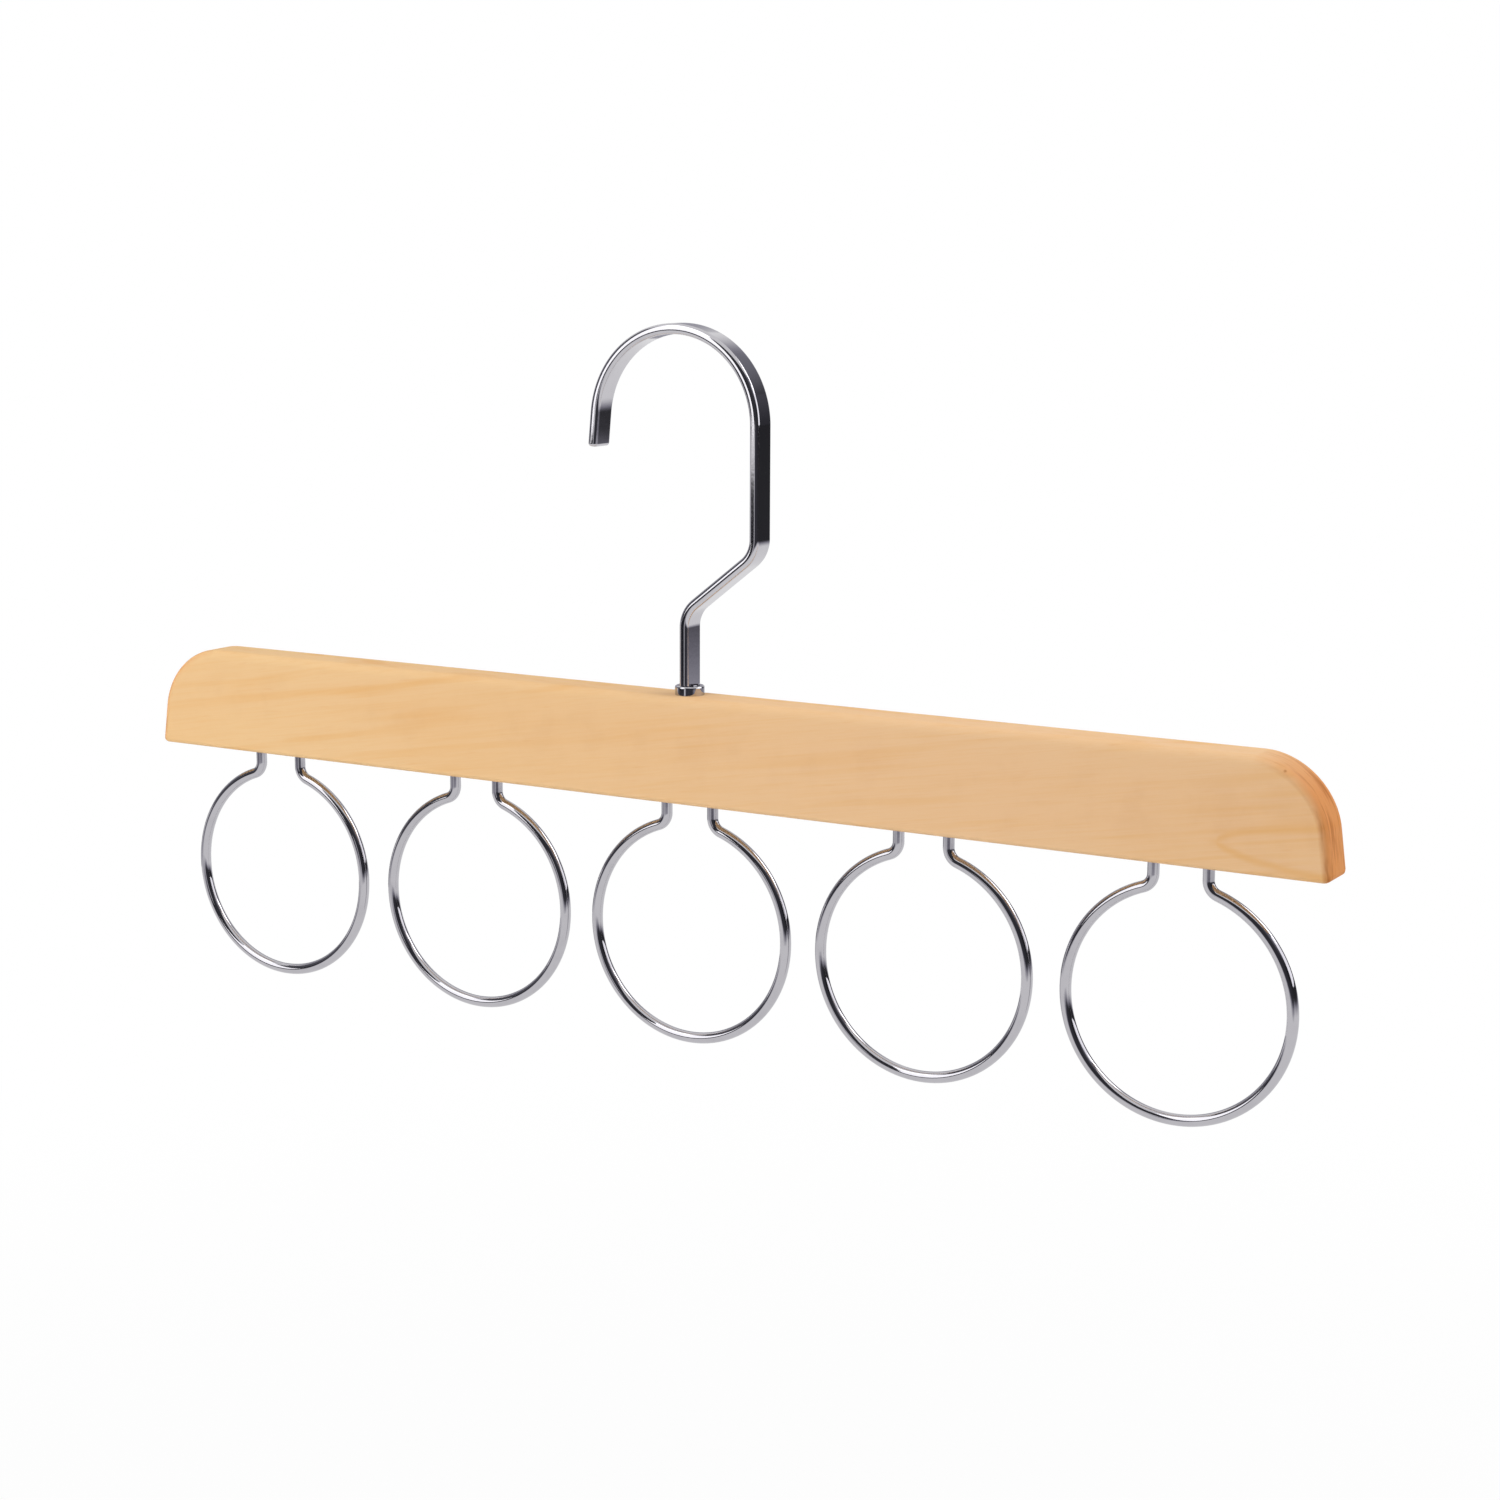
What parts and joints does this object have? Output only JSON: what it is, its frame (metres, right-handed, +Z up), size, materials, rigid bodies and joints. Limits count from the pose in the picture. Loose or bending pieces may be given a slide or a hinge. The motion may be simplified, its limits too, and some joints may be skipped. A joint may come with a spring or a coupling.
{
  "type": "scarf hanger",
  "caption": "Wooden bar with a row of fixed wire rings for scarves, turning under a flat chrome rail hook.",
  "frame": {"origin": "centre of the hook's half-round arch, on the axis of the rail that the hanger hangs from", "axes": "+X along the wooden bar, +Y through the bar's thickness and along the rail, +Z up"},
  "size_m": [0.3337, 0.012, 0.1793],
  "materials": {
    "wood": "satin clear lacquer over pale maple",
    "chrome": "bright chrome plate on steel",
    "steel": "plain zinc-plated steel"
  },
  "bodies": {
    "hook": {"hook": "chrome", "retaining_washer": "steel"},
    "hanger": {"bar": "wood", "swivel_ferrule": "chrome", "ring_1": "chrome", "ring_2": "chrome", "ring_3": "chrome", "ring_4": "chrome", "ring_5": "chrome"}
  },
  "joints": [
    {"name": "hook_swivel", "type": "hinge", "parent": "hook", "child": "hanger", "pos_m": [0.00305, 0, -0.0664], "axis": [0, 0, 1], "continuous": true}
  ]
}
